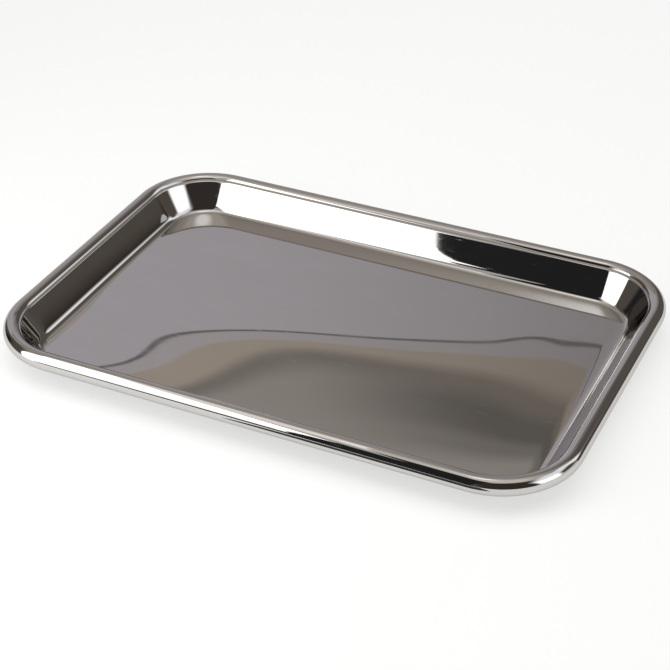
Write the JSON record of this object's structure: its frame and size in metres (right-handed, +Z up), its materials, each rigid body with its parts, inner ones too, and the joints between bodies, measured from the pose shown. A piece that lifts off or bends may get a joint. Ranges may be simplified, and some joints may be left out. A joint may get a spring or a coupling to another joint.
{
  "type": "instrument tray",
  "caption": "Shallow rectangular stainless-steel instrument tray with rounded corners, sloped walls that cove into a flat base, and a hollow rolled rim.",
  "frame": {"origin": "centre of the underside of the flat base, which is the bottom centre of the bounding box", "axes": "+X along the long side, +Y across the short side, +Z up out of the tray's open top"},
  "size_m": [0.343, 0.233, 0.0204],
  "materials": {
    "polished_steel": "mirror-polished stainless steel with fine polishing lines along the length"
  },
  "bodies": {
    "root": {"tray_pan": "polished_steel"}
  },
  "joints": []
}
